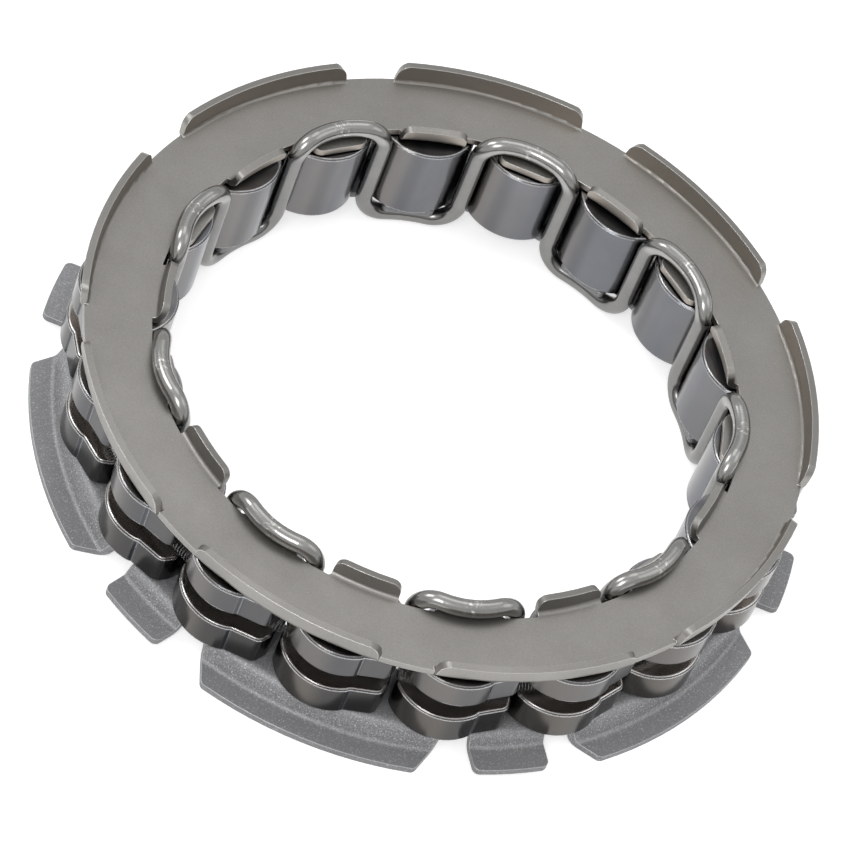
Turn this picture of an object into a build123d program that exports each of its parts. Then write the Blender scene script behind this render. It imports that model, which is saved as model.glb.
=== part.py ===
from build123d import *
import os
from math import asin, atan2, cos, degrees, radians, sin, sqrt

# Races that the clutch runs between
shaft_radius = 22.225
sprag_space = 8.33
housing_radius = shaft_radius + sprag_space

# Counts and the angle that each pattern is centred on
sprag_count = 18
first_sprag_angle = 10.0
loop_count = sprag_count // 2
sprag_pitch = 360 / sprag_count
loop_pitch = 360 / loop_count
top_loop_angle = first_sprag_angle
bottom_loop_angle = first_sprag_angle + sprag_pitch
leg_half_angle = sprag_pitch / 2

# Sheet metal and the stack of heights
plate_thickness = 0.6
joggle_drop = 1.7
sprag_height = 7.45
play_under_sprag = 0.08
play_over_sprag = 0.16
flange_ring_top = joggle_drop + plate_thickness
sprag_bottom = flange_ring_top + play_under_sprag
sprag_top = sprag_bottom + sprag_height
top_plate_bottom = sprag_top + play_over_sprag
top_plate_top = top_plate_bottom + plate_thickness

# How far pieces of one stamping run into each other, and how far cutting bodies reach
join_overlap = 0.5
join_overlap_angle = 1.0
cutter_height = 60.0

# Wire that holds the cage together
wire_diameter = 1.45
wire_clearance = 0.08
wire_gap_to_shaft = 0.55
leg_radius = shaft_radius + wire_gap_to_shaft + wire_diameter / 2
top_run_step = 0.65
bottom_run_step = 0.1
top_run_radius = leg_radius + top_run_step
bottom_run_radius = leg_radius + bottom_run_step
top_bend_radius = 1.9
bottom_bend_radius = 2.3
wire_top = top_plate_top + wire_clearance + wire_diameter / 2
wire_bottom = joggle_drop - wire_clearance - wire_diameter / 2

# Ring of both plates, the pads under the wire and the notches beside them
notch_gap_to_wire = 0.125
ring_inner_radius = leg_radius + wire_diameter / 2 + notch_gap_to_wire
pad_root_radius = 0.35
top_pad_half_width = 2.5
top_pad_corner = 0.9
top_pad_gap_to_shaft = 0.625
flange_pad_half_width = 2.2
flange_pad_corner = 0.4
flange_pad_gap_to_shaft = 0.525

# Top plate, its turned up rim tabs and the small tabs between the wire loops
ring_gap_to_housing = 0.705
top_ring_radius = housing_radius - ring_gap_to_housing
rim_tab_half_width = 8.15
rim_tab_taper = 0.25
rim_tab_rise = 1.6
rim_tab_gap_to_housing = 0.13
rim_tab_lean = 8.0
rim_tab_bend = 0.55
rim_tab_corner = 1.1
rim_tab_angle = first_sprag_angle + sprag_pitch / 2
inner_tab_half_angle = 6.6
inner_tab_rise = 1.3
inner_tab_lean = 11.0
inner_tab_bend = 0.7
inner_tab_corner = 0.8
inner_tab_reach = 0.6

# Flange plate with its joggled lips
flange_ring_inset = 1.655
flange_ring_radius = housing_radius - flange_ring_inset
joggle_setback = 0.05
joggle_slope = 66.0
joggle_bend = 0.7
lip_reach = 3.35
lip_radius = flange_ring_radius + lip_reach
lip_root_overlap = 1.0
lip_corner = 0.6
lip_count = 6
lip_pitch = 360 / lip_count
large_lip_angle = 30.0
large_lip_root_half_angle = 22.1
large_lip_tip_half_angle = 16.1
small_lip_angle = 0.0
small_lip_half_width = 3.1
small_lip_drop = 1.15

# Sprag, in its own plane: the first number is the distance from the clutch axis,
# the second the distance along the circle, anticlockwise
nose_radius = 4.25
nose_side_step = -0.48
nose_flank_side = 4.6
nose_flank_corner = 1.0
cam_radius = 4.4
cam_side_step = 0.1
cam_half_width = 4.16
facet_side_start = 1.7
facet_width = 0.35
facet_turn = 12.0
heel_side = 4.3
heel_drop = 1.555
heel_corner = 0.8
shoulder_side = 4.6
shoulder_drop = 2.855
shoulder_corner = 1.5
edge_break = 0.15

# Garter spring and the groove that carries it
spring_depth = 3.055
spring_radius = housing_radius - spring_depth
spring_diameter = 1.5
spring_rise = 0.2
spring_height = sprag_bottom + sprag_height / 2 + spring_rise
groove_play = 0.35
groove_width = spring_diameter + groove_play
groove_floor_gap = 0.3
groove_floor_curve = 11.0


def polar(radius, angle, height=0.0):
    """A point at a radius and an angle about the clutch axis."""
    return Vector(radius * cos(radians(angle)), radius * sin(radians(angle)), height)


def turned(shape, angle):
    """A copy of a shape turned about the clutch axis."""
    return shape.rotate(Axis.Z, angle)


def sheet_section(fold_line, bend_radii):
    """Section of the sheet along a folded middle line, in the radius and height plane."""
    with BuildSketch(Plane.XZ) as section:
        with BuildLine():
            FilletPolyline(*fold_line, radius=bend_radii)
        trace(line_width=plate_thickness)
    return section.sketch


def sector_of_revolution(section, half_angle):
    """A section revolved evenly to both sides of the X axis."""
    swept = revolve(section, axis=Axis.Z, revolution_arc=2 * half_angle)
    return turned(swept, -half_angle)


def flat_ring(inner_radius, outer_radius, bottom):
    """A flat washer of sheet."""
    with BuildPart() as ring:
        with BuildSketch(Plane.XY.offset(bottom)):
            Circle(outer_radius)
            Circle(inner_radius, mode=Mode.SUBTRACT)
        extrude(amount=plate_thickness)
    return ring.part


def wire_pad(gap_to_shaft, half_width, corner, bottom):
    """One pad of the ring that reaches in under a loop of the wire, centred on the X axis."""
    tip = shaft_radius + gap_to_shaft
    length = ring_inner_radius + join_overlap - tip
    with BuildPart() as pad:
        with BuildSketch(Plane.XY.offset(bottom)) as outline:
            with Locations((tip + length / 2, 0)):
                Rectangle(length, 2 * half_width)
            fillet(outline.vertices().sort_by(Axis.X)[:2], radius=corner)
        extrude(amount=plate_thickness)
    return pad.part


def ring_with_pads(outer_radius, pad, first_pad_angle, bottom):
    """The flat part of a plate: the ring, its pads and the rounded roots of the pads."""
    plate = flat_ring(ring_inner_radius, outer_radius, bottom)
    for index in range(loop_count):
        plate += turned(pad, first_pad_angle + index * loop_pitch)
    roots = []
    for edge in plate.edges().filter_by(Axis.Z):
        radius = Vector(edge.center().X, edge.center().Y).length
        if abs(radius - ring_inner_radius) < 0.01:
            roots.append(edge)
    return fillet(roots, radius=pad_root_radius)


def rim_tab_blank():
    """What lies between the two ends of a rim tab, with its rounded upper corners."""
    top = top_plate_top + rim_tab_rise
    corners = [
        (-rim_tab_half_width, top_plate_bottom),
        (rim_tab_half_width, top_plate_bottom),
        (rim_tab_half_width, top_plate_top),
        (rim_tab_half_width - rim_tab_taper, top),
        (rim_tab_taper - rim_tab_half_width, top),
        (-rim_tab_half_width, top_plate_top),
    ]
    with BuildSketch(Plane.YZ) as outline:
        with BuildLine():
            Polyline(*corners, close=True)
        make_face()
        fillet(outline.vertices().group_by(Axis.Y)[-1], radius=rim_tab_corner)
    return extrude(outline.sketch, amount=housing_radius)


def rim_tab_fold():
    """Where the rim tab leaves the flat of the plate, where it folds and where it ends."""
    middle = top_plate_bottom + plate_thickness / 2
    lean = radians(rim_tab_lean)
    reach = housing_radius - rim_tab_gap_to_housing
    top = (
        reach - plate_thickness / 2 * cos(lean),
        top_plate_top + rim_tab_rise - plate_thickness / 2 * sin(lean),
    )
    fold = (top[0] - (top[1] - middle) * sin(lean) / cos(lean), middle)
    half_turn = (radians(90) - lean) / 2
    start = (fold[0] - rim_tab_bend * sin(half_turn) / cos(half_turn), middle)
    return start, fold, top


def rim_tab(blank):
    """One turned up tab on the outside of the top plate, centred on the X axis."""
    start, fold, top = rim_tab_fold()
    flat_end = (start[0] - join_overlap, start[1])
    section = sheet_section([flat_end, fold, top], rim_tab_bend)
    half_angle = degrees(asin(rim_tab_half_width / start[0])) + join_overlap_angle
    return sector_of_revolution(section, half_angle) & blank


def inner_tab():
    """One turned up tab on the inside of the top plate, centred on the X axis."""
    middle = top_plate_bottom + plate_thickness / 2
    lean = radians(inner_tab_lean)
    fold_radius = ring_inner_radius - inner_tab_reach
    top_height = top_plate_top + inner_tab_rise - plate_thickness / 2 * sin(lean)
    top_radius = fold_radius - (top_height - middle) * sin(lean) / cos(lean)
    fold_line = [
        (ring_inner_radius + join_overlap, middle),
        (fold_radius, middle),
        (top_radius, top_height),
    ]
    tab = sector_of_revolution(sheet_section(fold_line, inner_tab_bend), inner_tab_half_angle)
    corners = tab.edges().filter_by(GeomType.LINE).group_by(Axis.Z)[-1]
    return fillet(corners, radius=inner_tab_corner)


def make_top_plate():
    """The stamped plate over the sprags, with nine rim tabs and nine inner tabs."""
    pad = wire_pad(top_pad_gap_to_shaft, top_pad_half_width, top_pad_corner, top_plate_bottom)
    plate = ring_with_pads(top_ring_radius, pad, top_loop_angle, top_plate_bottom)
    bend_start = rim_tab_fold()[0][0]
    blank = rim_tab_blank()
    relief = blank - Cylinder(bend_start, cutter_height)
    outer = rim_tab(blank)
    inner = inner_tab()
    for index in range(loop_count):
        plate -= turned(relief, rim_tab_angle + index * loop_pitch)
        plate += turned(outer, rim_tab_angle + index * loop_pitch)
        plate += turned(inner, bottom_loop_angle + index * loop_pitch)
    return plate


def lip_blank(root, tip):
    """What lies inside the outline of a lip, from its root to its tip, centred on the X axis."""
    with BuildSketch() as outline:
        with BuildLine():
            Line((root.X, root.Y), (tip.X, tip.Y))
            RadiusArc((tip.X, tip.Y), (tip.X, -tip.Y), lip_radius)
            Line((tip.X, -tip.Y), (root.X, -root.Y))
            Line((root.X, -root.Y), (root.X, root.Y))
        make_face()
        fillet(outline.vertices().sort_by(Axis.X)[2:], radius=lip_corner)
    return extrude(outline.sketch, amount=flange_ring_top)


def joggled_collar(drop):
    """The whole rim with a step down of its own, before the gaps between the lips are cut."""
    upper = flange_ring_top - plate_thickness / 2
    lower = upper - drop
    slope = radians(joggle_slope)
    start = flange_ring_radius + joggle_setback
    fold_top = start + joggle_bend * sin(slope / 2) / cos(slope / 2)
    fold_bottom = fold_top + drop * cos(slope) / sin(slope)
    fold_line = [
        (flange_ring_radius - lip_root_overlap, upper),
        (fold_top, upper),
        (fold_bottom, lower),
        (lip_radius + lip_root_overlap, lower),
    ]
    section = sheet_section(fold_line, joggle_bend)
    return revolve(section, axis=Axis.Z, revolution_arc=360)


def make_flange_plate():
    """The stamped plate under the sprags, whose lips step down to a mounting face."""
    bottom = flange_ring_top - plate_thickness
    pad = wire_pad(flange_pad_gap_to_shaft, flange_pad_half_width, flange_pad_corner, bottom)
    plate = ring_with_pads(flange_ring_radius, pad, bottom_loop_angle, bottom)
    root_radius = flange_ring_radius - lip_root_overlap
    large_root = polar(root_radius, large_lip_root_half_angle)
    large_tip = polar(lip_radius, large_lip_tip_half_angle)
    small_root = Vector(root_radius, small_lip_half_width)
    small_tip = Vector(sqrt(lip_radius**2 - small_lip_half_width**2), small_lip_half_width)
    large = lip_blank(large_root, large_tip) & joggled_collar(joggle_drop)
    small = lip_blank(small_root, small_tip) & joggled_collar(small_lip_drop)
    for index in range(lip_count):
        plate += turned(large, large_lip_angle + index * lip_pitch)
        plate += turned(small, small_lip_angle + index * lip_pitch)
    return plate


def sprag_outline():
    """Section of a sprag across the clutch axis, centred on the X axis."""
    nose_centre = Vector(housing_radius - nose_radius, nose_side_step)
    cam_centre = Vector(shaft_radius + cam_radius, cam_side_step)

    def on_nose(side):
        return Vector(nose_centre.X + sqrt(nose_radius**2 - (side - nose_centre.Y) ** 2), side)

    def on_cam(side):
        return Vector(cam_centre.X - sqrt(cam_radius**2 - (side - cam_centre.Y) ** 2), side)

    nose_start = on_nose(-nose_flank_side)
    nose_end = on_nose(facet_side_start)
    fall = asin((nose_end.Y - nose_centre.Y) / nose_radius)
    facet_fall = fall + radians(facet_turn)
    facet_end = nose_end + Vector(-sin(facet_fall), cos(facet_fall)) * facet_width
    heel = Vector(housing_radius - heel_drop, heel_side)
    shoulder = Vector(housing_radius - shoulder_drop, shoulder_side)
    cam_start = on_cam(cam_side_step + cam_half_width)
    cam_end = on_cam(cam_side_step - cam_half_width)
    with BuildSketch() as outline:
        with BuildLine():
            ThreePointArc(nose_start, on_nose(nose_side_step), nose_end)
            Line(nose_end, facet_end)
            Line(facet_end, heel)
            Line(heel, shoulder)
            Line(shoulder, cam_start)
            ThreePointArc(cam_start, on_cam(cam_side_step), cam_end)
            Line(cam_end, nose_start)
        make_face()
        for point, radius in (
            (heel, heel_corner),
            (shoulder, shoulder_corner),
            (cam_start, shoulder_corner),
            (nose_start, nose_flank_corner),
        ):
            corner = outline.vertices().sort_by_distance(point)[0]
            fillet(corner, radius=radius)
    return outline.sketch


def sprag_slice(outline, bottom, top):
    """The sprag's section drawn up between two heights, with both ends broken."""
    body = extrude(Plane.XY.offset(bottom) * outline, amount=top - bottom)
    ends = body.edges().group_by(Axis.Z)[0] + body.edges().group_by(Axis.Z)[-1]
    return chamfer(ends, length=edge_break)


def make_sprag():
    """One sprag at rest, centred on the X axis, with a groove whose floor rolls clear of the spring."""
    outline = sprag_outline()
    floor_top = spring_radius - spring_diameter / 2 - groove_floor_gap
    under_floor = Pos(floor_top - groove_floor_curve, 0, 0) * Cylinder(groove_floor_curve, cutter_height)
    lower = sprag_slice(outline, sprag_bottom, spring_height - groove_width / 2)
    upper = sprag_slice(outline, spring_height + groove_width / 2, sprag_top)
    core = sprag_slice(outline, sprag_bottom, sprag_top) & under_floor
    return core + lower + upper


def run_of_wire(run_radius, bend_radius):
    """Plan of one run of wire over a pad: the radius of its curve and half the angle it turns."""
    leg = polar(leg_radius, leg_half_angle)
    drop = run_radius - leg.X
    curve = (drop**2 + leg.Y**2 - bend_radius**2) / (2 * drop)
    turn = atan2(leg.Y, curve - drop) - atan2(bend_radius, curve)
    return curve, turn


def wire_loop(run_radius, bend_radius, run_height, side):
    """Path of one loop from leg to leg: bend, run and bend. side is 1 above and -1 below."""
    curve, turn = run_of_wire(run_radius, bend_radius)
    centre = run_radius - curve
    leg_end = run_height - side * bend_radius
    edges = []
    ends = []
    for hand in (-1, 1):
        end = Vector(centre + curve * cos(turn), hand * curve * sin(turn), run_height)
        forward = Vector(-sin(turn), hand * cos(turn), 0)
        foot = end + forward * bend_radius + Vector(0, 0, leg_end - run_height)
        hub = end + Vector(0, 0, leg_end - run_height)
        middle = hub + (forward + Vector(0, 0, side)).normalized() * bend_radius
        edges.append((end, middle, foot))
        ends.append(foot)
    start, finish = edges
    path = [
        Edge.make_three_point_arc(start[2], start[1], start[0]),
        Edge.make_three_point_arc(start[0], Vector(run_radius, 0, run_height), finish[0]),
        Edge.make_three_point_arc(finish[0], finish[1], finish[2]),
    ]
    return path, ends


def make_cage_wire():
    """The closed round wire that runs up and down between the sprags and ties the plates."""
    top_path, top_ends = wire_loop(top_run_radius, top_bend_radius, wire_top, 1)
    low_path, low_ends = wire_loop(bottom_run_radius, bottom_bend_radius, wire_bottom, -1)
    edges = []
    for index in range(loop_count):
        top_angle = top_loop_angle + index * loop_pitch
        low_angle = bottom_loop_angle + index * loop_pitch
        edges += [edge.rotate(Axis.Z, top_angle) for edge in top_path]
        edges += [edge.rotate(Axis.Z, low_angle) for edge in low_path]
        for low_end, top_end, step in ((low_ends[0], top_ends[1], 0), (low_ends[1], top_ends[0], 1)):
            high = top_end.rotate(Axis.Z, top_angle + step * loop_pitch)
            low = Vector(high.X, high.Y, low_end.Z)
            edges.append(Edge.make_line(low, high))
    path = Wire(edges)
    start = path @ 0
    plane = Plane(origin=start, z_dir=path % 0)
    section = plane * Circle(wire_diameter / 2)
    return sweep(section, path=path)


def make_garter_spring():
    """The envelope of the coil spring that pulls the sprags on to the shaft."""
    with BuildPart() as spring:
        with BuildSketch(Plane.XZ):
            with Locations((spring_radius, spring_height)):
                Circle(spring_diameter / 2)
        revolve(axis=Axis.Z, revolution_arc=360)
    return spring.part


def write(name, shape):
    """One STEP file for one piece."""
    shape.label = name
    export_step(shape, f"parts/{name}.step")


os.makedirs("parts", exist_ok=True)
write("top_plate", make_top_plate())
write("flange_plate", make_flange_plate())
write("cage_wire", make_cage_wire())
write("garter_spring", make_garter_spring())
sprag = make_sprag()
for index in range(sprag_count):
    write(f"sprag_{index + 1:02d}", turned(sprag, first_sprag_angle + index * sprag_pitch))
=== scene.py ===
"""Finishes, coil spring, light and camera for a one-way clutch insert, built round its frame."""

import math

import bmesh
import bpy
from bpy.props import FloatProperty, FloatVectorProperty, IntProperty, PointerProperty
from mathutils import Matrix, Vector


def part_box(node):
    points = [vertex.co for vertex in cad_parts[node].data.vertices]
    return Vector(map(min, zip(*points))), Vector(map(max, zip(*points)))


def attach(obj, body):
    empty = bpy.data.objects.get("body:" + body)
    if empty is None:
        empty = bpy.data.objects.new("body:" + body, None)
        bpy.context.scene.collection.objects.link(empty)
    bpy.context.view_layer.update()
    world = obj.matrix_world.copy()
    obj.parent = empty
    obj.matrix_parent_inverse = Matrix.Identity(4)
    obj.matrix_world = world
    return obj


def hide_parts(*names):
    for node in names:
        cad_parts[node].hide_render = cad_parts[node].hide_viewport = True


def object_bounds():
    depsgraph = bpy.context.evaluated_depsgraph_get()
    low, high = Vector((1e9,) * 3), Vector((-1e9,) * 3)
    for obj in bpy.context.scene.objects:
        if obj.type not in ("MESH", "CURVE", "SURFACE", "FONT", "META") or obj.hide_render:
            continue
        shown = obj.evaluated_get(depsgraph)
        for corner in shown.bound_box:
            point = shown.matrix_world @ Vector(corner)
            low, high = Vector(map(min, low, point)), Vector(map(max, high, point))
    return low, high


bl_info = {
    "name": "Sprag clutch insert",
    "version": (1, 0, 0),
    "blender": (4, 5, 0),
    "location": "View3D > Sidebar > Clutch",
    "description": "Finishes a sprag clutch insert and sets it on a pale stage",
    "category": "Object",
}

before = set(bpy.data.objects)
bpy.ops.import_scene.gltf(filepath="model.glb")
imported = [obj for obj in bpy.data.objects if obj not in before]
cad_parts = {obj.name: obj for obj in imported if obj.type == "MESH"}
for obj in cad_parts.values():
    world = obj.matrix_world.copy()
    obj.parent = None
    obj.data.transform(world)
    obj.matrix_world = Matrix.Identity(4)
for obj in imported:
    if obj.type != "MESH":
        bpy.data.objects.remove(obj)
CAD_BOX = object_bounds()

MM = 0.001
FAR = 1.0
SPRAGS = sorted(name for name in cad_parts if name.startswith("sprag_"))
CAGE = "cage"

WIRE_RUNS = len(SPRAGS) / 2
FIRST_RUN = math.radians(10.0)
JOGGLE = (28.9 * MM, 30.2 * MM)
NOSE_END = 25.0 * MM
GROOVE_START = 27.0 * MM
HEEL_START = 28.2 * MM
HEEL_MIDDLE = 5.4 * MM
GROOVE_PLAY = 0.19 * MM
WIRE_CROWN = 0.9 * MM
BUMP_DEPTH = 0.03 * MM

SENSOR_WIDTH = 36.0
AIM_OVER_SPRAGS = 0.76 * MM
FLOOR_RADIUS = 3.0
FLOOR_GAP = 0.02 * MM
LAMPS = (
    ("soft_lamp", (-0.02, 0.28, 0.65), 0.35, "lamp"),
    ("front_lamp", (-0.1, -0.42, 0.5), 0.25, "front"),
    ("side_lamp", (-0.45, 0.05, 0.5), 0.25, "side"),
    ("fill_lamp", (0.4, 0.1, 0.4), 0.3, "fill"),
)


def colour_prop(name, description, default):
    """A colour that a user may change."""
    return FloatVectorProperty(
        name=name,
        description=description,
        subtype="COLOR",
        size=3,
        min=0.0,
        max=1.0,
        default=default,
    )


def length_prop(name, description, default):
    """A length in metres that a user may change."""
    return FloatProperty(
        name=name,
        description=description,
        subtype="DISTANCE",
        unit="LENGTH",
        precision=5,
        default=default,
    )


def angle_prop(name, description, default):
    """An angle, kept in radians, that a user may change."""
    return FloatProperty(
        name=name,
        description=description,
        subtype="ANGLE",
        unit="ROTATION",
        default=math.radians(default),
    )


def amount_prop(name, description, default):
    """A plain amount that a user may change."""
    return FloatProperty(name=name, description=description, default=default, precision=4)


class ClutchFinishes(bpy.types.PropertyGroup):
    """Colours and sheen of the steels."""

    plate: colour_prop("Top plate", "Satin stamped sheet over the sprags", (0.252, 0.243, 0.23))
    plate_light: colour_prop(
        "Top plate, rubbed", "Lighter patches of the top plate", (0.35, 0.339, 0.321))
    # Painted highlight along the top plate's edges, and its painted glints.
    plate_highlight: colour_prop(
        "Top plate highlights", "Painted highlight on the edges and painted glints of the top plate", (0.7, 0.7, 0.68))
    # Painted reflection: the insides of the bent-up tabs take a browner, lighter tone.
    plate_upright_reflection: colour_prop(
        "Top plate, tab reflection", "Painted browner reflection on the insides of the bent-up tabs", (0.43, 0.378, 0.325))
    flange: colour_prop("Flange", "Rolled sheet of the flange plate", (0.24, 0.242, 0.25))
    flange_light: colour_prop(
        "Flange, rubbed", "Lighter patches of the flange plate", (0.31, 0.313, 0.322))
    # Painted highlight along the flange's edges, and its painted glints, fuller on the joggle.
    flange_highlight: colour_prop(
        "Flange highlights", "Painted highlight on the edges and painted glints of the flange", (0.75, 0.76, 0.78))
    # Painted shade on the upright and sheared faces of the flange.
    flange_side_shade: colour_prop(
        "Flange, side shade", "Painted shade on the upright and sheared faces of the flange", (0.045, 0.04, 0.037))
    wire: colour_prop("Cage wire", "Drawn wire that ties the plates", (0.27, 0.266, 0.256))
    # Lighter streaks of the wire; the same colour paints the glints of the garter spring.
    wire_light_and_spring_glint: colour_prop(
        "Cage wire, rubbed", "Lighter streaks of the wire, and painted glints on the spring", (0.44, 0.438, 0.428))
    # Painted highlight on the dents of the bending tool, and the wire's painted glints.
    wire_highlight: colour_prop(
        "Cage wire dent highlights", "Painted highlight on the dents of the bending tool, and painted glints", (0.85, 0.85, 0.84))
    # Painted shade on the wire legs between the sprags.
    wire_leg_shade: colour_prop("Cage wire legs, painted shade", "Painted shade on the wire between the sprags", (0.05, 0.05, 0.05))
    sprag: colour_prop("Sprag", "Ground and hardened steel", (0.125, 0.13, 0.143))
    sprag_light: colour_prop("Sprag, rubbed", "Lighter patches of the sprags", (0.185, 0.19, 0.204))
    # Painted highlight along the sprags' edges, and their painted glints.
    sprag_highlight: colour_prop("Sprag highlights", "Painted highlight on the edges and painted glints of the sprags", (0.97, 0.975, 0.99))
    # Warm grinding streaks, and painted warm reflections beside the nose and on the heel.
    sprag_warm: colour_prop("Sprag, warm", "Warm streaks left by the grinding, and painted warm reflections", (0.25, 0.225, 0.2))
    # Painted dark reflections beside the nose and on the facet of the heel.
    sprag_dark_reflection: colour_prop("Sprag, dark reflection", "Painted dark reflections beside the nose and on the facet of the heel", (0.07, 0.072, 0.08))
    # Painted shade on the outer end of each sprag, darker on its lower half.
    sprag_heel_shade: colour_prop("Sprag, worn", "Painted shade on the outer end of a sprag, darker on its lower half", (0.055, 0.053, 0.051))
    # Painted light on the walls of the groove, where little light reaches.
    sprag_groove_light: colour_prop("Sprag groove light", "Painted light on the cut walls of the groove", (0.62, 0.585, 0.56))
    spring: colour_prop("Garter spring", "Fine spring wire", (0.4, 0.4, 0.395))
    spring_light: colour_prop("Garter spring, rubbed", "Outside of the turns", (0.6, 0.6, 0.59))
    plate_roughness: amount_prop("Top plate roughness", "Roughness of the top plate", 0.42)
    flange_roughness: amount_prop("Flange roughness", "Roughness of the flange plate", 0.5)
    wire_roughness: amount_prop("Wire roughness", "Roughness of the cage wire", 0.24)
    sprag_roughness: amount_prop("Sprag roughness", "Roughness of the sprags", 0.2)
    flange_bare: amount_prop(
        "Flange bare metal", "One is bare steel, nothing is a dull coat", 0.35)
    edge_round: length_prop(
        "Edge rounding", "How far the edges of the sheets catch the light", 0.1 * MM)
    sprag_round: length_prop(
        "Sprag edge rounding", "How far the sprags' edges catch the light", 0.2 * MM)


class ClutchSpring(bpy.types.PropertyGroup):
    """Sizes of the coiled garter spring."""

    wire: length_prop("Wire", "Diameter of the spring wire", 0.2 * MM)
    pitch: length_prop("Pitch", "Distance from one turn to the next", 0.25 * MM)
    steps: IntProperty(name="Steps", description="Sections in one turn", default=12, min=6)
    sides: IntProperty(name="Sides", description="Sides of the wire's section", default=6, min=4)


class ClutchStage(bpy.types.PropertyGroup):
    """The place of the camera and the level of the light."""

    turn: angle_prop("Turn", "Turn of the view about the clutch axis", 1.4308)
    tilt: angle_prop("Tilt", "Tilt of the clutch axis away from the view", -39.78203)
    roll: angle_prop("Roll", "Roll of the picture", -23.07838)
    aside: length_prop("Aside", "How far the axis stands right of the view's middle", 2.03368 * MM)
    above: length_prop("Above", "How far the axis stands above the view's middle", 4.72638 * MM)
    distance: length_prop("Distance", "From the camera to the top plate", 405.5236 * MM)
    lens: amount_prop("Lens", "Focal length in millimetres on a 36 mm sensor", 214.76)
    zenith: amount_prop("Zenith", "Level of the light from straight above", 1.0)
    slant: amount_prop("Slant", "Level of the light that comes in at a slant", 0.75)
    horizon: amount_prop("Horizon", "Level of the light from the sides", 1.0)
    lamp: amount_prop("Lamp", "Strength of the soft lamp behind", 0.35)
    front: amount_prop("Front lamp", "Strength of the lamp that draws the near edges", 1.0)
    side: amount_prop("Side lamp", "Strength of the small lamp on the left", 0.8)
    fill: amount_prop("Fill", "Strength of the small lamp on the right", 0.2)
    floor: colour_prop("Floor", "Colour of the floor", (0.8, 0.8, 0.8))
    floor_white: amount_prop("Floor white", "How much whiter the floor looks than it is lit", 0.6)


def add_socket(group, name, in_out, kind="NodeSocketFloat", default=None):
    """One named input or output of a node group."""
    socket = group.interface.new_socket(name=name, in_out=in_out, socket_type=kind)
    if default is not None:
        socket.default_value = default
    return socket


def maths(nodes, links, operation, first, second=None, third=None, clamp=False):
    """One maths node whose inputs are sockets or plain numbers."""
    node = nodes.new("ShaderNodeMath")
    node.operation = operation
    node.use_clamp = clamp
    for slot, value in enumerate((first, second, third)):
        if value is None:
            continue
        if isinstance(value, (int, float)):
            node.inputs[slot].default_value = value
        else:
            links.new(value, node.inputs[slot])
    return node.outputs[0]


def make_grain_group():
    """Slow mottling and fine grain of a metal surface, and a mask of sparse grains painted as
    glints.
    """
    group = bpy.data.node_groups.new("Metal grain", "ShaderNodeTree")
    add_socket(group, "Patch scale", "INPUT", default=120.0)
    add_socket(group, "Grain scale", "INPUT", default=2500.0)
    add_socket(group, "Grain share", "INPUT", default=0.4)
    add_socket(group, "Contrast", "INPUT", default=1.0)
    add_socket(group, "Sparkle start", "INPUT", default=0.6)
    add_socket(group, "Mask", "OUTPUT")
    add_socket(group, "Grain", "OUTPUT")
    add_socket(group, "Sparkle", "OUTPUT")
    nodes, links = group.nodes, group.links
    given = nodes.new("NodeGroupInput")
    result = nodes.new("NodeGroupOutput")
    place = nodes.new("ShaderNodeTexCoord")
    noises = []
    for scale, detail, rough in (("Patch scale", 5.0, 0.62), ("Grain scale", 2.0, 0.6)):
        noise = nodes.new("ShaderNodeTexNoise")
        noise.inputs["Detail"].default_value = detail
        noise.inputs["Roughness"].default_value = rough
        links.new(place.outputs["Object"], noise.inputs["Vector"])
        links.new(given.outputs[scale], noise.inputs["Scale"])
        noises.append(noise.outputs["Fac"])
    patches, grain = noises
    mix = nodes.new("ShaderNodeMix")
    links.new(given.outputs["Grain share"], mix.inputs["Factor"])
    links.new(patches, mix.inputs["A"])
    links.new(grain, mix.inputs["B"])
    centred = maths(nodes, links, "SUBTRACT", mix.outputs["Result"], 0.5)
    mask = maths(nodes, links, "MULTIPLY_ADD", centred, given.outputs["Contrast"], 0.5, clamp=True)
    # Sparkle marks the sparse grains that are painted as glints.
    over = maths(nodes, links, "SUBTRACT", grain, given.outputs["Sparkle start"])
    sparkle = maths(nodes, links, "MULTIPLY", over, 12.0, clamp=True)
    links.new(mask, result.inputs["Mask"])
    links.new(grain, result.inputs["Grain"])
    links.new(sparkle, result.inputs["Sparkle"])
    return group


def make_edge_group():
    """Rounded edges: a rounded normal, and a mask of how close the edge is that steel uses for a
    painted highlight along the edge.
    """
    group = bpy.data.node_groups.new("Broken edges", "ShaderNodeTree")
    add_socket(group, "Radius", "INPUT", default=0.1 * MM)
    add_socket(group, "Strength", "INPUT", default=6.0)
    add_socket(group, "Edge", "OUTPUT")
    add_socket(group, "Normal", "OUTPUT", kind="NodeSocketVector")
    nodes, links = group.nodes, group.links
    given = nodes.new("NodeGroupInput")
    result = nodes.new("NodeGroupOutput")
    rounded = nodes.new("ShaderNodeBevel")
    rounded.samples = 6
    links.new(given.outputs["Radius"], rounded.inputs["Radius"])
    shape = nodes.new("ShaderNodeNewGeometry")
    turn = nodes.new("ShaderNodeVectorMath")
    turn.operation = "DOT_PRODUCT"
    links.new(rounded.outputs["Normal"], turn.inputs[0])
    links.new(shape.outputs["Normal"], turn.inputs[1])
    away = maths(nodes, links, "SUBTRACT", 1.0, turn.outputs["Value"])
    edge = maths(nodes, links, "MULTIPLY", away, given.outputs["Strength"], clamp=True)
    links.new(edge, result.inputs["Edge"])
    links.new(rounded.outputs["Normal"], result.inputs["Normal"])
    return group


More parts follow.
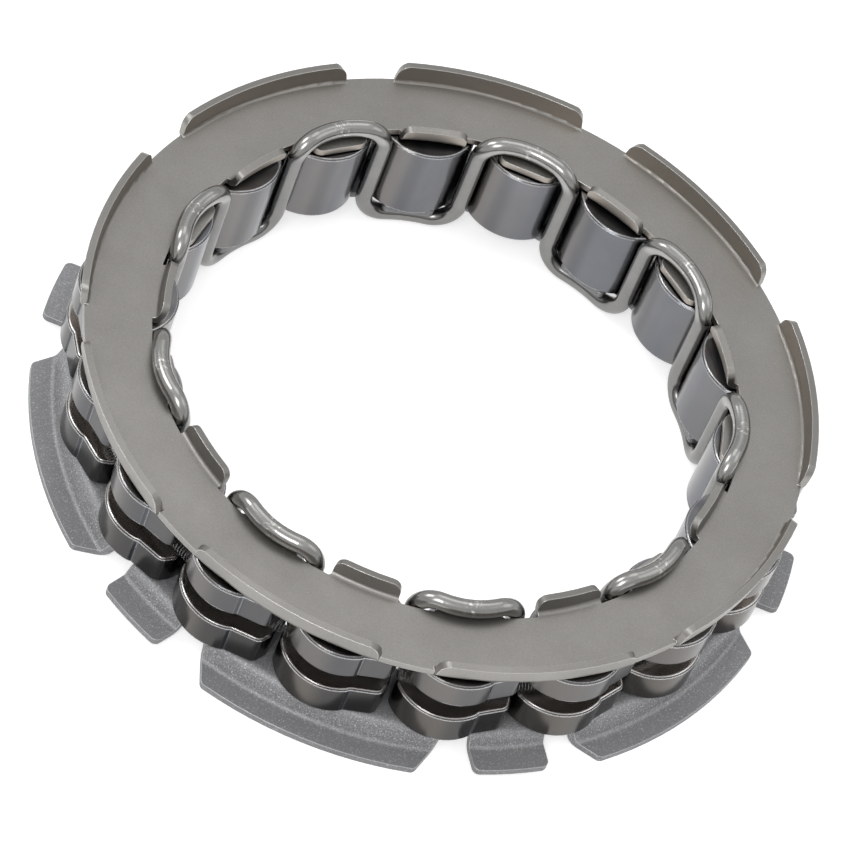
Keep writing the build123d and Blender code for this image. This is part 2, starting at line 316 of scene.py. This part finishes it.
def make_place_group():
    """Where a point lies in its own sector of a ring: out from the axis, across and up."""
    group = bpy.data.node_groups.new("Place in the ring", "ShaderNodeTree")
    add_socket(group, "Sectors", "INPUT", default=float(len(SPRAGS)))
    add_socket(group, "First angle", "INPUT", default=FIRST_RUN)
    add_socket(group, "Out", "OUTPUT")
    add_socket(group, "Across", "OUTPUT")
    add_socket(group, "Up", "OUTPUT")
    nodes, links = group.nodes, group.links
    given = nodes.new("NodeGroupInput")
    result = nodes.new("NodeGroupOutput")
    place = nodes.new("ShaderNodeTexCoord")
    split = nodes.new("ShaderNodeSeparateXYZ")
    links.new(place.outputs["Object"], split.inputs[0])
    x, y, z = split.outputs["X"], split.outputs["Y"], split.outputs["Z"]
    angle = maths(nodes, links, "ARCTAN2", y, x)
    pitch = maths(nodes, links, "DIVIDE", 2.0 * math.pi, given.outputs["Sectors"])
    from_first = maths(nodes, links, "SUBTRACT", angle, given.outputs["First angle"])
    sector = maths(nodes, links, "DIVIDE", from_first, pitch)
    nearest = maths(nodes, links, "ROUND", sector)
    aside = maths(nodes, links, "MULTIPLY", maths(nodes, links, "SUBTRACT", sector, nearest), pitch)
    squares = maths(nodes, links, "MULTIPLY_ADD", x, x, maths(nodes, links, "MULTIPLY", y, y))
    out = maths(nodes, links, "SQRT", squares)
    links.new(out, result.inputs["Out"])
    links.new(maths(nodes, links, "MULTIPLY", out, aside), result.inputs["Across"])
    links.new(z, result.inputs["Up"])
    return group


GROUP_MAKERS = {
    "Metal grain": make_grain_group,
    "Broken edges": make_edge_group,
    "Place in the ring": make_place_group,
}


def add_group(nodes, name, values):
    """A shared node group placed in a material with its own values."""
    node = nodes.new("ShaderNodeGroup")
    node.node_tree = bpy.data.node_groups.get(name) or GROUP_MAKERS[name]()
    for socket, value in values.items():
        node.inputs[socket].default_value = value
    return node


def mix_colours(nodes, links, factor, first, second):
    """A blend of two colours, each a socket or a plain colour."""
    mix = nodes.new("ShaderNodeMix")
    mix.data_type = "RGBA"
    links.new(factor, mix.inputs["Factor"])
    for slot, value in (("A", first), ("B", second)):
        if isinstance(value, bpy.types.NodeSocket):
            links.new(value, mix.inputs[slot])
        else:
            mix.inputs[slot].default_value = (*value, 1.0)
    return mix.outputs["Result"]


def window(nodes, links, value, low, high, soft):
    """One inside a range of a value and nothing outside, with soft ends."""
    steps = []
    for start, end in ((low - soft, low), (high + soft, high)):
        step = nodes.new("ShaderNodeMapRange")
        step.interpolation_type = "SMOOTHSTEP"
        step.inputs["From Min"].default_value = start
        step.inputs["From Max"].default_value = end
        links.new(value, step.inputs["Value"])
        steps.append(step.outputs["Result"])
    return maths(nodes, links, "MULTIPLY", *steps)


def upright_mask(nodes, links, shape):
    """One on bent-up and sheared faces, nothing on flat ones."""
    split = nodes.new("ShaderNodeSeparateXYZ")
    links.new(shape.outputs["Normal"], split.inputs[0])
    level = maths(nodes, links, "ABSOLUTE", split.outputs["Z"])
    return window(nodes, links, level, -FAR, 0.45, 0.4)


def tab_insides(colour, share):
    """The sides of the bent-up tabs that face the axis are painted a browner tone, a painted
    reflection.
    """
    def shade(nodes, links, tone, wander):
        shape = nodes.new("ShaderNodeTexCoord")
        upright = upright_mask(nodes, links, shape)
        turn = nodes.new("ShaderNodeVectorMath")
        turn.operation = "DOT_PRODUCT"
        links.new(shape.outputs["Normal"], turn.inputs[0])
        links.new(shape.outputs["Object"], turn.inputs[1])
        inward = window(nodes, links, turn.outputs["Value"], -FAR, -12.0 * MM, 10.0 * MM)
        # Painted reflection on the upright faces that face the axis.
        facing = maths(nodes, links, "MULTIPLY", upright, inward)
        part = maths(nodes, links, "MULTIPLY", facing, share)
        return mix_colours(nodes, links, part, tone, colour), None
    return shade


def joggle_shine(light, sheared):
    """Painted glints on the flange, fuller on the drawn joggle than on its lips, and painted shade
    on its upright and sheared faces.
    """
    def shade(nodes, links, tone, wander):
        upright = upright_mask(nodes, links, nodes.new("ShaderNodeTexCoord"))
        # Painted shade: the upright and sheared faces are darkened toward the side shade colour.
        dull = maths(nodes, links, "MULTIPLY", upright, 0.3)
        sided = mix_colours(nodes, links, dull, tone, sheared)
        place = add_group(nodes, "Place in the ring", {})
        drawn = window(nodes, links, place.outputs["Out"], *JOGGLE, 0.9 * MM)
        # Painted glints, fuller on the drawn joggle than on the lips.
        grain = wander.outputs["Grain"]
        grains = maths(nodes, links, "MULTIPLY_ADD", grain, 2.6, -1.15, clamp=True)
        share = maths(nodes, links, "MULTIPLY_ADD", drawn, 0.35, 0.2)
        highlight_mask = maths(nodes, links, "MULTIPLY", share, grains)
        return mix_colours(nodes, links, highlight_mask, sided, light), None
    return shade


def grinding_streaks(nodes, links):
    """Soft streaks that run up a ground face."""
    place = nodes.new("ShaderNodeTexCoord")
    stretch = nodes.new("ShaderNodeMapping")
    stretch.inputs["Scale"].default_value = (1.0, 1.0, 0.06)
    noise = nodes.new("ShaderNodeTexNoise")
    noise.inputs["Scale"].default_value = 420.0
    noise.inputs["Detail"].default_value = 3.0
    links.new(place.outputs["Object"], stretch.inputs["Vector"])
    links.new(stretch.outputs["Vector"], noise.inputs["Vector"])
    return maths(nodes, links, "MULTIPLY_ADD", noise.outputs["Fac"], 3.2, -1.35, clamp=True)


def sprag_bands(warm, dark, heel_shade, lit, groove):
    """Grinding streaks, painted reflections beside the nose and on the heel, painted shade on the
    heels and painted light in the groove.
    """
    def shade(nodes, links, tone, wander):
        place = add_group(nodes, "Place in the ring", {})
        out, across, up = (place.outputs[name] for name in ("Out", "Across", "Up"))
        inner = window(nodes, links, out, 0.0, NOSE_END, 0.8 * MM)
        heel = window(nodes, links, out, HEEL_START, FAR, 1.2 * MM)
        lower = window(nodes, links, up, -FAR, HEEL_MIDDLE, 0.5 * MM)
        facet = window(nodes, links, across, 1.75 * MM, 2.05 * MM, 0.12 * MM)
        warm_side = window(nodes, links, across, -9.0 * MM, -1.5 * MM, 2.0 * MM)
        # Share of the painted shade on the heel, stronger on its lower half.
        below = maths(nodes, links, "MULTIPLY_ADD", lower, 0.32, 0.6)
        streaks = grinding_streaks(nodes, links)
        # Painted light on the walls of the groove.
        cut = window(nodes, links, up, *groove, 0.04 * MM)
        behind = window(nodes, links, out, GROOVE_START, FAR, 0.5 * MM)
        # Rows: warm grinding streaks; painted warm and dark reflections beside the nose; painted
        # shade on the heel; a painted warm reflection on one side of the heel; a painted dark
        # reflection on its facet; painted light on the groove walls.
        for colour, band, zone, share in (
            (warm, streaks, 1.0, 0.32),
            (warm, window(nodes, links, across, 2.0 * MM, 5.0 * MM, 1.2 * MM), inner, 0.3),
            (dark, window(nodes, links, across, 0.9 * MM, 1.2 * MM, 0.9 * MM), inner, 0.3),
            (heel_shade, below, heel, 1.0),
            (warm, warm_side, heel, 0.3),
            (dark, facet, heel, 0.75),
            (lit, cut, behind, 1.0),
        ):
            inside = maths(nodes, links, "MULTIPLY", band, zone)
            part = maths(nodes, links, "MULTIPLY", inside, share)
            tone = mix_colours(nodes, links, part, tone, colour)
        return tone, None
    return shade


def bending_marks(bright, dull, height):
    """Dents of the bending tool in the runs over the plate get a painted highlight, and the legs
    get painted shade.
    """
    def shade(nodes, links, tone, wander):
        runs = {"Sectors": WIRE_RUNS, "First angle": FIRST_RUN}
        place = add_group(nodes, "Place in the ring", runs)
        across = window(nodes, links, place.outputs["Across"], -0.45 * MM, 0.45 * MM, 0.35 * MM)
        above = window(nodes, links, place.outputs["Up"], height, FAR, 0.3 * MM)
        legs = window(nodes, links, place.outputs["Up"], -FAR, height - 1.2 * MM, 0.8 * MM)
        # Painted shade on the legs between the sprags.
        tone = mix_colours(nodes, links, maths(nodes, links, "MULTIPLY", legs, 0.4), tone, dull)
        marks = maths(nodes, links, "MULTIPLY_ADD", wander.outputs["Grain"], 5.0, -2.75, clamp=True)
        middle = maths(nodes, links, "MULTIPLY", across, above)
        dents = maths(nodes, links, "MULTIPLY", middle, marks)
        # The dents get a painted highlight in the highlight colour.
        return mix_colours(nodes, links, dents, tone, bright), dents
    return shade


def steel(name, tones, roughness, grain, bump, edge_radius=0.0, shade=None, bare=1.0):
    """A steel that wanders between two tones, with painted glints and a painted highlight along its
    rounded edges.
    """
    material = bpy.data.materials.new(name)
    material.use_nodes = True
    nodes, links = material.node_tree.nodes, material.node_tree.links
    shader = nodes["Principled BSDF"]
    shader.inputs["Metallic"].default_value = bare
    dark, light, bright = tones
    wander = add_group(nodes, "Metal grain", grain)
    tone = mix_colours(nodes, links, wander.outputs["Mask"], dark, light)
    dents = None
    if shade:
        tone, dents = shade(nodes, links, tone, wander)
    # Painted glints, joined below with the painted highlight along the edges.
    highlight_mask = maths(nodes, links, "MULTIPLY", wander.outputs["Sparkle"], 0.8)
    relief = nodes.new("ShaderNodeBump")
    relief.inputs["Strength"].default_value = bump
    relief.inputs["Distance"].default_value = BUMP_DEPTH
    height = wander.outputs["Grain"]
    if dents:
        height = maths(nodes, links, "MULTIPLY_ADD", dents, -2.0, height)
    links.new(height, relief.inputs["Height"])
    if edge_radius:
        edges = add_group(nodes, "Broken edges", {"Radius": edge_radius})
        highlight_mask = maths(nodes, links, "MAXIMUM", edges.outputs["Edge"], highlight_mask)
        links.new(edges.outputs["Normal"], relief.inputs["Normal"])
    links.new(mix_colours(nodes, links, highlight_mask, tone, bright), shader.inputs["Base Color"])
    spread = nodes.new("ShaderNodeMapRange")
    spread.inputs["To Min"].default_value = roughness * 1.15
    spread.inputs["To Max"].default_value = roughness * 0.85
    links.new(wander.outputs["Mask"], spread.inputs["Value"])
    rough = spread.outputs["Result"]
    if edge_radius:
        edge = edges.outputs["Edge"]
        rough = maths(nodes, links, "MULTIPLY_ADD", edge, -0.4 * roughness, rough, clamp=True)
    links.new(rough, shader.inputs["Roughness"])
    links.new(relief.outputs["Normal"], shader.inputs["Normal"])
    return material


def grain_of(patch, grain, share, contrast, sparkle):
    """Inputs of the grain group: two scales, their shares, the contrast and where the painted
    glints start.
    """
    return {"Patch scale": patch, "Grain scale": grain, "Grain share": share,
            "Contrast": contrast, "Sparkle start": sparkle}


def dress(names, material):
    """Gives CAD nodes their material."""
    for name in names:
        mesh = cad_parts[name].data
        mesh.materials.clear()
        mesh.materials.append(material)


class CLUTCH_OT_top_plate(bpy.types.Operator):
    """Finishes the stamped plate over the sprags"""

    bl_idname = "clutch.top_plate"
    bl_label = "Top plate"

    def execute(self, context):
        look = context.scene.clutch_finishes
        dress(["top_plate"], steel(
            "Satin sheet", (look.plate, look.plate_light, look.plate_highlight), look.plate_roughness,
            grain_of(140.0, 6500.0, 0.45, 1.9, 0.74), 0.15, look.edge_round,
            tab_insides(look.plate_upright_reflection, 0.6),
        ))
        return {"FINISHED"}


class CLUTCH_OT_flange_plate(bpy.types.Operator):
    """Finishes the stamped plate under the sprags"""

    bl_idname = "clutch.flange_plate"
    bl_label = "Flange plate"

    def execute(self, context):
        look = context.scene.clutch_finishes
        dress(["flange_plate"], steel(
            "Rolled sheet", (look.flange, look.flange_light, look.flange_highlight),
            look.flange_roughness, grain_of(150.0, 9000.0, 0.3, 1.6, 0.63), 0.15, look.edge_round,
            joggle_shine(look.flange_highlight, look.flange_side_shade), look.flange_bare,
        ))
        return {"FINISHED"}


class CLUTCH_OT_cage_wire(bpy.types.Operator):
    """Finishes the wire that ties the plates together"""

    bl_idname = "clutch.cage_wire"
    bl_label = "Cage wire"

    def execute(self, context):
        look = context.scene.clutch_finishes
        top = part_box("cage_wire")[1].z
        dress(["cage_wire"], steel(
            "Drawn wire", (look.wire, look.wire_light_and_spring_glint, look.wire_highlight), look.wire_roughness,
            grain_of(350.0, 3000.0, 0.3, 1.2, 0.9), 0.05,
            shade=bending_marks(look.wire_highlight, look.wire_leg_shade, top - WIRE_CROWN),
        ))
        return {"FINISHED"}


class CLUTCH_OT_sprags(bpy.types.Operator):
    """Finishes the sprags"""

    bl_idname = "clutch.sprags"
    bl_label = "Sprags"

    def execute(self, context):
        look = context.scene.clutch_finishes
        low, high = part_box("garter_spring")
        groove = (low.z - GROOVE_PLAY, high.z + GROOVE_PLAY)
        dress(SPRAGS, steel(
            "Ground sprag steel", (look.sprag, look.sprag_light, look.sprag_highlight),
            look.sprag_roughness, grain_of(150.0, 3500.0, 0.12, 1.2, 0.95), 0.0, look.sprag_round,
            sprag_bands(look.sprag_warm, look.sprag_dark_reflection, look.sprag_heel_shade,
                        look.sprag_groove_light, groove),
        ))
        return {"FINISHED"}


def coil_place(step, steps, turn, ring_radius, height):
    """Where a section of the coil goes: round its middle line and on round the clutch axis."""
    out = Matrix.Translation((ring_radius, 0.0, height))
    around = Matrix.Rotation(2.0 * math.pi * step / steps, 4, "Y")
    along = Matrix.Rotation(turn * step / steps, 4, "Z")
    return along @ out @ around @ out.inverted()


def build_coil(sizes, ring_radius, coil_radius, height):
    """A closed coil: one turn drawn out of a round section, then repeated round the clutch axis."""
    turns = round(2.0 * math.pi * ring_radius / sizes.pitch)
    turn = 2.0 * math.pi / turns
    mesh = bpy.data.meshes.new("garter_coil")
    shape = bmesh.new()
    upright = Matrix.Rotation(math.pi / 2, 4, "X")
    lay = Matrix.Translation((ring_radius + coil_radius, 0.0, height)) @ upright
    ring = bmesh.ops.create_circle(
        shape, segments=sizes.sides, radius=sizes.wire / 2, matrix=lay)["verts"]
    edges = list({edge for vert in ring for edge in vert.link_edges})
    for step in range(sizes.steps):
        move = (coil_place(step + 1, sizes.steps, turn, ring_radius, height)
                @ coil_place(step, sizes.steps, turn, ring_radius, height).inverted())
        drawn = bmesh.ops.extrude_edge_only(shape, edges=edges)["geom"]
        moved = [item for item in drawn if isinstance(item, bmesh.types.BMVert)]
        edges = [item for item in drawn if isinstance(item, bmesh.types.BMEdge)]
        bmesh.ops.transform(shape, matrix=move, verts=moved)
    bmesh.ops.spin(shape, geom=list(shape.verts) + list(shape.edges) + list(shape.faces),
                   cent=(0.0, 0.0, 0.0), axis=(0.0, 0.0, 1.0), angle=2.0 * math.pi - turn,
                   steps=turns - 1, use_duplicate=True)
    bmesh.ops.remove_doubles(shape, verts=shape.verts, dist=sizes.wire / 50)
    bmesh.ops.recalc_face_normals(shape, faces=shape.faces)
    for face in shape.faces:
        face.smooth = True
    shape.to_mesh(mesh)
    shape.free()
    coil = bpy.data.objects.new("garter_coil", mesh)
    bpy.context.scene.collection.objects.link(coil)
    return coil


class CLUTCH_OT_garter_spring(bpy.types.Operator):
    """Winds the garter spring that lies in the grooves of the sprags"""

    bl_idname = "clutch.garter_spring"
    bl_label = "Garter spring"

    def execute(self, context):
        look = context.scene.clutch_finishes
        sizes = context.scene.clutch_spring
        low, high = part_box("garter_spring")
        outside = (high.z - low.z) / 2
        coil = build_coil(sizes, high.x - outside, outside - sizes.wire / 2, (low.z + high.z) / 2)
        # The wire's lighter colour paints the glints of the spring.
        coil.data.materials.append(steel(
            "Spring wire", (look.spring, look.spring_light, look.wire_light_and_spring_glint), look.wire_roughness,
            grain_of(400.0, 3000.0, 0.4, 1.4, 0.8), 0.05,
        ))
        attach(coil, CAGE)
        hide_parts("garter_spring")
        return {"FINISHED"}


def make_camera(view, top):
    """A camera that sees the clutch at a slant from above."""
    data = bpy.data.cameras.new("camera")
    data.sensor_fit = "HORIZONTAL"
    data.sensor_width = SENSOR_WIDTH
    data.lens = view.lens
    data.clip_start = 0.01
    data.clip_end = 10.0
    camera = bpy.data.objects.new("camera", data)
    bpy.context.scene.collection.objects.link(camera)
    roll = Matrix.Rotation(view.roll, 3, "Z")
    tilt = Matrix.Rotation(view.tilt, 3, "X")
    turn = Matrix.Rotation(view.turn, 3, "Z")
    seen = (roll @ tilt @ turn).transposed()
    away = Vector((-view.aside, -view.above, view.distance))
    camera.location = seen @ away + Vector((0.0, 0.0, top))
    camera.rotation_mode = "QUATERNION"
    camera.rotation_quaternion = seen.to_quaternion()
    bpy.context.scene.camera = camera
    return camera


def make_floor(view, height):
    """A pale round floor that keeps the object's shadow."""
    shape = bmesh.new()
    bmesh.ops.create_circle(shape, cap_ends=True, segments=64, radius=FLOOR_RADIUS,
                            matrix=Matrix.Translation((0.0, 0.0, height)))
    mesh = bpy.data.meshes.new("floor")
    shape.to_mesh(mesh)
    shape.free()
    floor = bpy.data.objects.new("floor", mesh)
    bpy.context.scene.collection.objects.link(floor)
    material = bpy.data.materials.new("Pale floor")
    material.use_nodes = True
    nodes, links = material.node_tree.nodes, material.node_tree.links
    nodes.clear()
    result = nodes.new("ShaderNodeOutputMaterial")
    matt = nodes.new("ShaderNodeBsdfDiffuse")
    matt.inputs["Color"].default_value = (*view.floor, 1.0)
    glow = nodes.new("ShaderNodeEmission")
    glow.inputs["Color"].default_value = (1.0, 1.0, 1.0, 1.0)
    ray = nodes.new("ShaderNodeLightPath")
    seen = ray.outputs["Is Camera Ray"]
    for kind in ("Is Glossy Ray", "Is Transmission Ray"):
        seen = maths(nodes, links, "MAXIMUM", seen, ray.outputs[kind])
    links.new(maths(nodes, links, "MULTIPLY", seen, view.floor_white), glow.inputs["Strength"])
    both = nodes.new("ShaderNodeAddShader")
    links.new(matt.outputs[0], both.inputs[0])
    links.new(glow.outputs[0], both.inputs[1])
    links.new(both.outputs[0], result.inputs["Surface"])
    mesh.materials.append(material)
    return floor


def make_world(view):
    """A soft studio: white at the horizon, dimmer at a slant, bright above."""
    world = bpy.data.worlds.new("studio")
    bpy.context.scene.world = world
    world.use_nodes = True
    nodes, links = world.node_tree.nodes, world.node_tree.links
    nodes.clear()
    result = nodes.new("ShaderNodeOutputWorld")
    place = nodes.new("ShaderNodeTexCoord")
    split = nodes.new("ShaderNodeSeparateXYZ")
    links.new(place.outputs["Generated"], split.inputs[0])
    levels = []
    for start, end, low, high in (
        (0.12, 0.4, view.horizon, view.slant),
        (0.5, 0.9, 0.0, view.zenith - view.slant),
    ):
        step = nodes.new("ShaderNodeMapRange")
        step.interpolation_type = "SMOOTHSTEP"
        step.inputs["From Min"].default_value = start
        step.inputs["From Max"].default_value = end
        step.inputs["To Min"].default_value = low
        step.inputs["To Max"].default_value = high
        links.new(split.outputs["Z"], step.inputs["Value"])
        levels.append(step.outputs["Result"])
    soft = nodes.new("ShaderNodeBackground")
    links.new(maths(nodes, links, "ADD", *levels), soft.inputs["Strength"])
    links.new(soft.outputs[0], result.inputs["Surface"])
    return world


def make_lamp(name, place, size, strength):
    """A square soft lamp that faces the object."""
    data = bpy.data.lights.new(name, "AREA")
    data.shape = "SQUARE"
    data.size = size
    data.energy = strength
    lamp = bpy.data.objects.new(name, data)
    bpy.context.scene.collection.objects.link(lamp)
    lamp.location = place
    lamp.rotation_mode = "QUATERNION"
    lamp.rotation_quaternion = Vector(place).to_track_quat("Z", "Y")
    return lamp


class CLUTCH_OT_stage(bpy.types.Operator):
    """Sets the floor, the light and the camera"""

    bl_idname = "clutch.stage"
    bl_label = "Stage"

    def execute(self, context):
        view = context.scene.clutch_stage
        make_camera(view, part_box("sprag_01")[1].z + AIM_OVER_SPRAGS)
        make_floor(view, CAD_BOX[0].z - FLOOR_GAP)
        make_world(view)
        for name, place, size, strength in LAMPS:
            make_lamp(name, place, size, getattr(view, strength))
        context.scene.view_settings.view_transform = "Standard"
        return {"FINISHED"}


class CLUTCH_PT_panel(bpy.types.Panel):
    """Lists the steps that finish the clutch"""

    bl_label = "Sprag clutch"
    bl_idname = "CLUTCH_PT_panel"
    bl_space_type = "VIEW_3D"
    bl_region_type = "UI"
    bl_category = "Clutch"

    def draw(self, context):
        for step in STEPS:
            self.layout.operator(step.bl_idname)


STEPS = (
    CLUTCH_OT_top_plate,
    CLUTCH_OT_flange_plate,
    CLUTCH_OT_cage_wire,
    CLUTCH_OT_sprags,
    CLUTCH_OT_garter_spring,
    CLUTCH_OT_stage,
)
GROUPS = (ClutchFinishes, ClutchSpring, ClutchStage)
CLASSES = GROUPS + STEPS + (CLUTCH_PT_panel,)


def register():
    for cls in CLASSES:
        bpy.utils.register_class(cls)
    bpy.types.Scene.clutch_finishes = PointerProperty(type=ClutchFinishes)
    bpy.types.Scene.clutch_spring = PointerProperty(type=ClutchSpring)
    bpy.types.Scene.clutch_stage = PointerProperty(type=ClutchStage)


def unregister():
    del bpy.types.Scene.clutch_stage
    del bpy.types.Scene.clutch_spring
    del bpy.types.Scene.clutch_finishes
    for cls in reversed(CLASSES):
        bpy.utils.unregister_class(cls)


def main():
    register()
    bpy.ops.clutch.top_plate()
    bpy.ops.clutch.flange_plate()
    bpy.ops.clutch.cage_wire()
    bpy.ops.clutch.sprags()
    bpy.ops.clutch.garter_spring()
    bpy.ops.clutch.stage()


if __name__ == "__main__":
    main()
